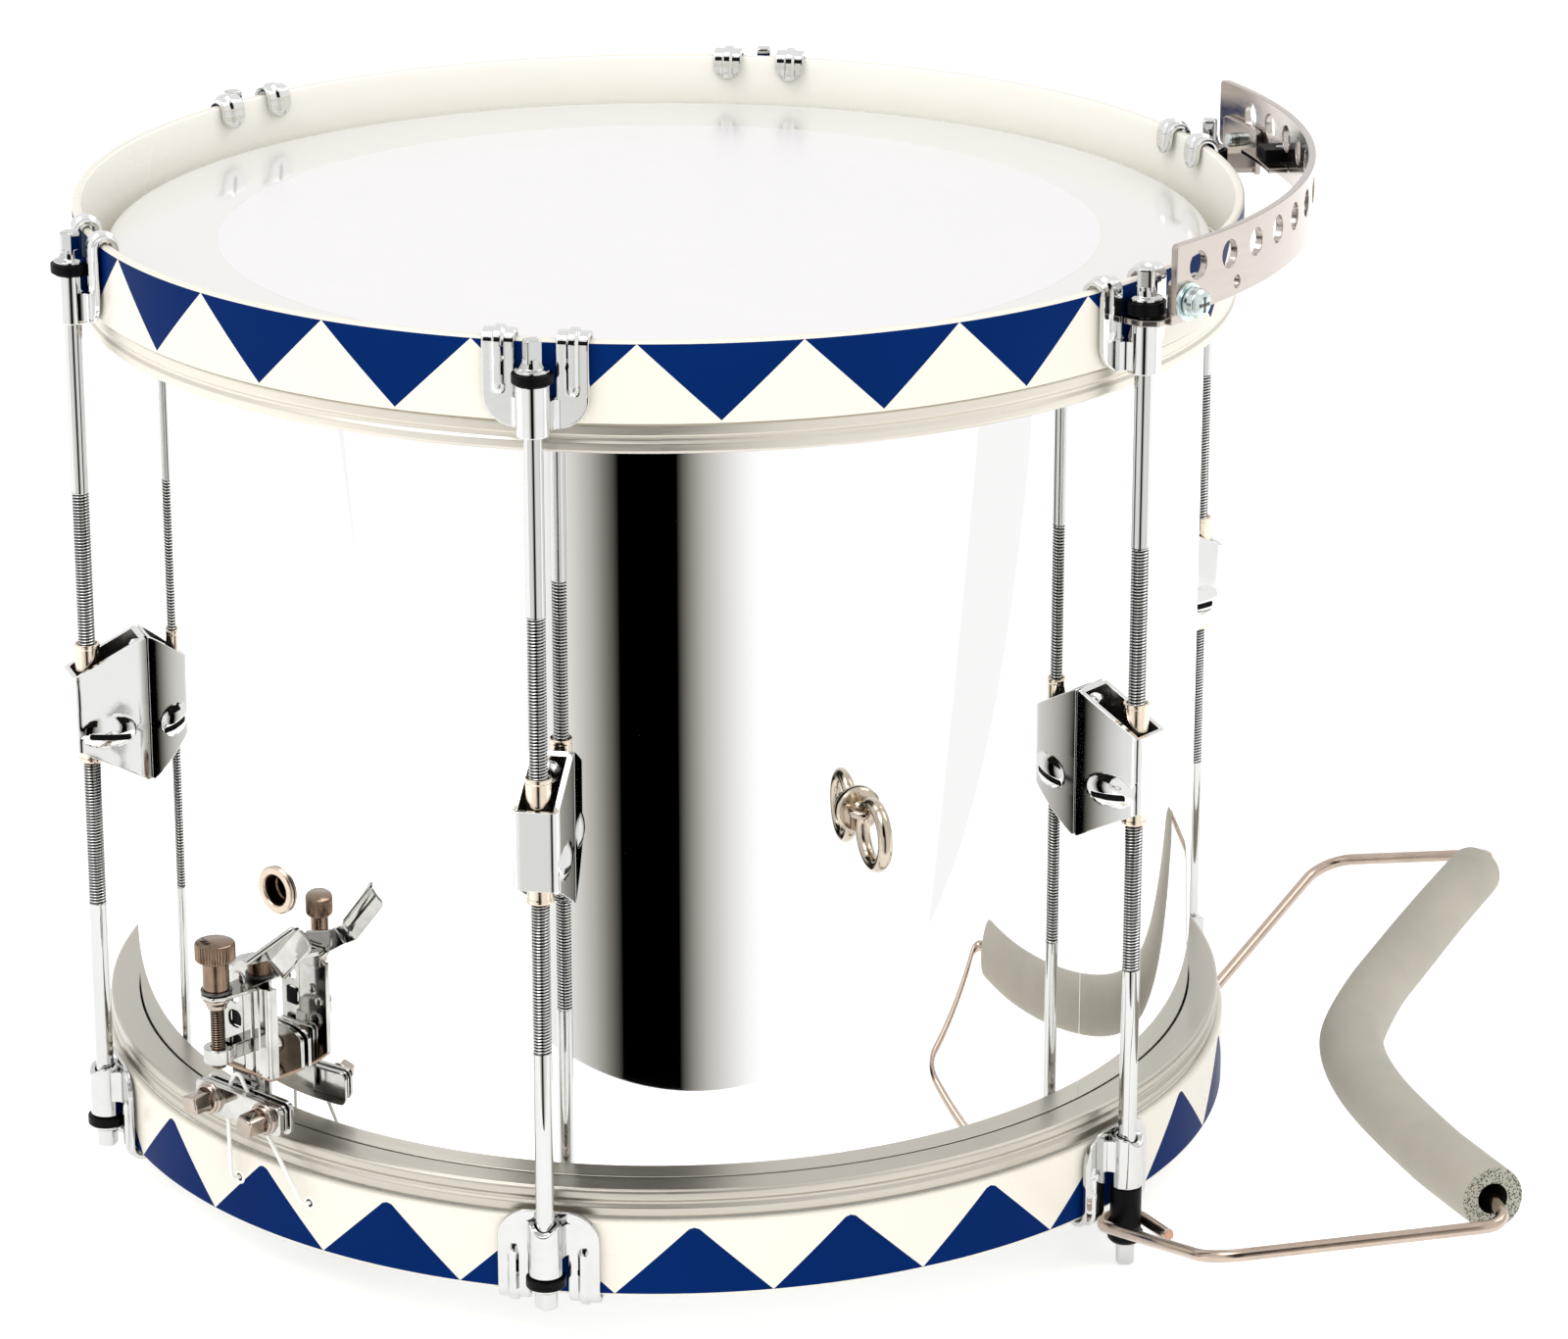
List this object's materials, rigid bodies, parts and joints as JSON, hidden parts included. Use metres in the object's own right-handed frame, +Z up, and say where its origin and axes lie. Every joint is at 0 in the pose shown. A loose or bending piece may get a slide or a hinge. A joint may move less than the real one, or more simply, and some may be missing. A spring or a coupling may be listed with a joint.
{
  "type": "marching snare drum",
  "caption": "Marching snare drum with mirror-polished shell, lacquered counter hoops, claw-hooked tension rods, snare strainer, carrying rail and padded knee rest.",
  "frame": {"origin": "centre of the top face of the batter head", "axes": "+Z up, out of the batter head along the shell axis; -Y towards the side that the picture shows; +X to the right there, towards the carrying rail and knee rest"},
  "size_m": [0.4862, 0.4093, 0.3368],
  "materials": {
    "shell_chrome": "mirror polished plate over sheet steel",
    "trim_chrome": "polished",
    "head_film": "white coated film with a slight gloss",
    "flesh_hoop_metal": "circumferentially brushed",
    "hoop_lacquer": "ivory gloss lacquer with dark blue triangles",
    "lug_chrome": "polished pressed sheet",
    "nut_bronze": "turned",
    "rod_chrome": "polished, with black nylon washers",
    "claw_chrome": "polished pressed sheet",
    "strainer_chrome": "polished",
    "knob_bronze": "knurled",
    "snare_bronze": "wound wire",
    "cord_white": "twisted cord",
    "ring_nickel": "nickel plated",
    "rail_nickel": "nickel plated strip",
    "wire_copper_nickel": "drawn wire, warm grey",
    "foam_grey": "closed-cell foam tube"
  },
  "bodies": {
    "drum": {"shell": "shell_chrome", "vent_grommet": "trim_chrome", "batter_head": "head_film", "snare_head": "head_film", "batter_flesh_hoop": "flesh_hoop_metal", "snare_flesh_hoop": "flesh_hoop_metal", "top_hoop": "hoop_lacquer", "bottom_hoop": "hoop_lacquer", "lug_casing_1": "lug_chrome", "lug_casing_2": "lug_chrome", "lug_casing_3": "lug_chrome", "lug_casing_4": "lug_chrome", "lug_casing_5": "lug_chrome", "lug_casing_6": "lug_chrome", "lug_nut_1": "nut_bronze", "lug_nut_2": "nut_bronze", "lug_nut_3": "nut_bronze", "lug_nut_4": "nut_bronze", "lug_nut_5": "nut_bronze", "lug_nut_6": "nut_bronze", "top_claw_1": "claw_chrome", "top_claw_2": "claw_chrome", "top_claw_3": "claw_chrome", "top_claw_4": "claw_chrome", "top_claw_5": "claw_chrome", "top_claw_6": "claw_chrome", "bottom_claw_1": "claw_chrome", "bottom_claw_2": "claw_chrome", "bottom_claw_3": "claw_chrome", "bottom_claw_4": "claw_chrome", "bottom_claw_5": "claw_chrome", "bottom_claw_6": "claw_chrome", "strainer_base": "strainer_chrome", "snare_butt": "strainer_chrome", "snare_wires": "snare_bronze", "snare_cord_strainer": "cord_white", "snare_cord_butt": "cord_white", "ring_post": "ring_nickel", "carry_rail": "rail_nickel", "rail_bracket_front": "rail_nickel", "rail_bracket_rear": "rail_nickel", "knee_rest_wire": "wire_copper_nickel", "knee_rest_foam": "foam_grey"},
    "strainer_slide_body": {"strainer_slider": "strainer_chrome", "strainer_clamp_bar": "strainer_chrome"},
    "strainer_knob_body": {"strainer_knob": "knob_bronze"},
    "strainer_lever_body": {"strainer_lever": "strainer_chrome"},
    "strap_ring_body": {"strap_ring": "ring_nickel"},
    "top_rod_1_body": {"top_rod_1": "rod_chrome"},
    "bottom_rod_1_body": {"bottom_rod_1": "rod_chrome"},
    "top_rod_2_body": {"top_rod_2": "rod_chrome"},
    "bottom_rod_2_body": {"bottom_rod_2": "rod_chrome"},
    "top_rod_3_body": {"top_rod_3": "rod_chrome"},
    "bottom_rod_3_body": {"bottom_rod_3": "rod_chrome"},
    "top_rod_4_body": {"top_rod_4": "rod_chrome"},
    "bottom_rod_4_body": {"bottom_rod_4": "rod_chrome"},
    "top_rod_5_body": {"top_rod_5": "rod_chrome"},
    "bottom_rod_5_body": {"bottom_rod_5": "rod_chrome"},
    "top_rod_6_body": {"top_rod_6": "rod_chrome"},
    "bottom_rod_6_body": {"bottom_rod_6": "rod_chrome"}
  },
  "joints": [
    {"name": "top_rod_1_turn", "type": "hinge", "parent": "drum", "child": "top_rod_1_body", "pos_m": [-0.03733, -0.19027, -0.06], "axis": [0, 0, 1], "continuous": true},
    {"name": "bottom_rod_1_turn", "type": "hinge", "parent": "drum", "child": "bottom_rod_1_body", "pos_m": [-0.03733, -0.19027, -0.22], "axis": [0, 0, 1], "continuous": true},
    {"name": "top_rod_2_turn", "type": "hinge", "parent": "drum", "child": "top_rod_2_body", "pos_m": [0.14612, -0.12747, -0.06], "axis": [0, 0, 1], "continuous": true},
    {"name": "bottom_rod_2_turn", "type": "hinge", "parent": "drum", "child": "bottom_rod_2_body", "pos_m": [0.14612, -0.12747, -0.22], "axis": [0, 0, 1], "continuous": true},
    {"name": "top_rod_3_turn", "type": "hinge", "parent": "drum", "child": "top_rod_3_body", "pos_m": [0.18345, 0.06281, -0.06], "axis": [0, 0, 1], "continuous": true},
    {"name": "bottom_rod_3_turn", "type": "hinge", "parent": "drum", "child": "bottom_rod_3_body", "pos_m": [0.18345, 0.06281, -0.22], "axis": [0, 0, 1], "continuous": true},
    {"name": "top_rod_4_turn", "type": "hinge", "parent": "drum", "child": "top_rod_4_body", "pos_m": [0.03733, 0.19027, -0.06], "axis": [0, 0, 1], "continuous": true},
    {"name": "bottom_rod_4_turn", "type": "hinge", "parent": "drum", "child": "bottom_rod_4_body", "pos_m": [0.03733, 0.19027, -0.22], "axis": [0, 0, 1], "continuous": true},
    {"name": "top_rod_5_turn", "type": "hinge", "parent": "drum", "child": "top_rod_5_body", "pos_m": [-0.14612, 0.12747, -0.06], "axis": [0, 0, 1], "continuous": true},
    {"name": "bottom_rod_5_turn", "type": "hinge", "parent": "drum", "child": "bottom_rod_5_body", "pos_m": [-0.14612, 0.12747, -0.22], "axis": [0, 0, 1], "continuous": true},
    {"name": "top_rod_6_turn", "type": "hinge", "parent": "drum", "child": "top_rod_6_body", "pos_m": [-0.18345, -0.06281, -0.06], "axis": [0, 0, 1], "continuous": true},
    {"name": "bottom_rod_6_turn", "type": "hinge", "parent": "drum", "child": "bottom_rod_6_body", "pos_m": [-0.18345, -0.06281, -0.22], "axis": [0, 0, 1], "continuous": true},
    {"name": "strainer_lever_throw", "type": "hinge", "parent": "drum", "child": "strainer_lever_body", "pos_m": [-0.13067, -0.13794, -0.2032], "axis": [-0.6877, -0.726, 0], "range_deg": [-70, 0]},
    {"name": "strainer_slide", "type": "slide", "parent": "drum", "child": "strainer_slide_body", "axis": [0, 0, 1], "range_m": [-0.007, 0], "deforming": ["snare_cord_strainer"]},
    {"name": "strainer_knob_turn", "type": "hinge", "parent": "strainer_slide_body", "child": "strainer_knob_body", "pos_m": [-0.13892, -0.14665, -0.21], "axis": [0, 0, 1], "continuous": true},
    {"name": "strap_ring_swivel", "type": "hinge", "parent": "drum", "child": "strap_ring_body", "pos_m": [0.06045, -0.17167, -0.1372], "axis": [0, 0, 1], "range_deg": [-50, 50]}
  ],
  "couplings": [
    {"joint": "strainer_lever_throw", "follows": "strainer_slide", "rad_per_m": 174.53}
  ]
}
